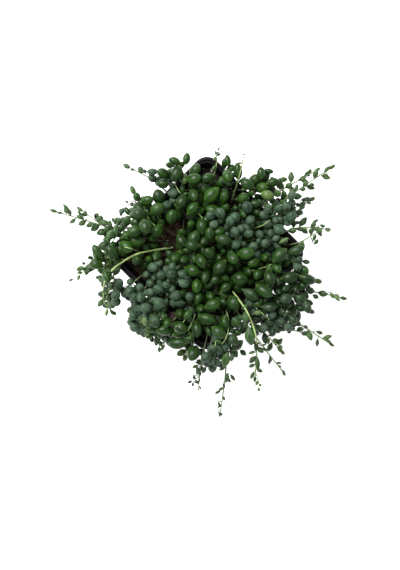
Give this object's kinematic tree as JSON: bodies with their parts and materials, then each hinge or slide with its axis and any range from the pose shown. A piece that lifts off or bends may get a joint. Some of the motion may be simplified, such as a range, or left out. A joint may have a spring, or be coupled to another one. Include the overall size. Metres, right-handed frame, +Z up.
{
  "type": "potted string of pearls",
  "caption": "Trailing succulent with bead-like leaves on long thin stems, growing in a square tapered nursery pot.",
  "frame": {"origin": "centre of the pot's flat base, on the surface that it stands on", "axes": "+Z up; +X and +Y square to two of the pot's sides, so that its corners lie on the diagonals"},
  "size_m": [0.1846, 0.2066, 0.106],
  "materials": {
    "black_plastic": "satin",
    "potting_mix": "rough",
    "deep_green_leaf": "glossy",
    "blue_green_leaf": "waxy",
    "fresh_green_leaf": "satin"
  },
  "bodies": {
    "root": {"pot": "black_plastic", "potting_mix": "potting_mix", "west_spray": "fresh_green_leaf", "west_twin": "fresh_green_leaf", "west_arch": "fresh_green_leaf", "west_cluster": "deep_green_leaf", "west_drop": "fresh_green_leaf", "west_bunch": "deep_green_leaf", "north_west_bunch": "deep_green_leaf", "north_west_low": "blue_green_leaf", "north_west_spray": "blue_green_leaf", "north_west_pair": "deep_green_leaf", "north_hook": "fresh_green_leaf", "north_leaf": "deep_green_leaf", "north_wisp": "fresh_green_leaf", "north_east_bunch": "deep_green_leaf", "north_east_twig": "fresh_green_leaf", "north_east_spray": "fresh_green_leaf", "north_east_round": "blue_green_leaf", "east_round": "blue_green_leaf", "east_wisp": "fresh_green_leaf", "east_corner": "fresh_green_leaf", "east_rest": "blue_green_leaf", "south_east_big": "deep_green_leaf", "south_east_long": "fresh_green_leaf", "south_east_short": "deep_green_leaf", "south_east_spray": "fresh_green_leaf", "south_east_beads": "blue_green_leaf", "south_wisp": "fresh_green_leaf", "south_arch": "fresh_green_leaf", "south_twig": "fresh_green_leaf", "south_long": "fresh_green_leaf", "south_hang": "fresh_green_leaf", "south_tuft": "blue_green_leaf", "south_leaf": "deep_green_leaf", "south_west_side": "deep_green_leaf", "south_west_tip": "fresh_green_leaf", "south_west_fall": "blue_green_leaf", "south_west_beads": "blue_green_leaf", "south_west_twig": "blue_green_leaf", "south_west_veil": "blue_green_leaf", "mound_01": "blue_green_leaf", "mound_02": "deep_green_leaf", "mound_03": "deep_green_leaf", "mound_04": "deep_green_leaf", "mound_05": "blue_green_leaf", "mound_06": "deep_green_leaf", "mound_07": "deep_green_leaf", "mound_08": "deep_green_leaf", "mound_09": "deep_green_leaf", "mound_10": "blue_green_leaf", "mound_11": "deep_green_leaf", "mound_12": "blue_green_leaf", "mound_13": "deep_green_leaf", "mound_14": "deep_green_leaf", "mound_15": "deep_green_leaf", "mound_16": "deep_green_leaf", "mound_17": "deep_green_leaf", "mound_18": "blue_green_leaf"}
  },
  "joints": []
}
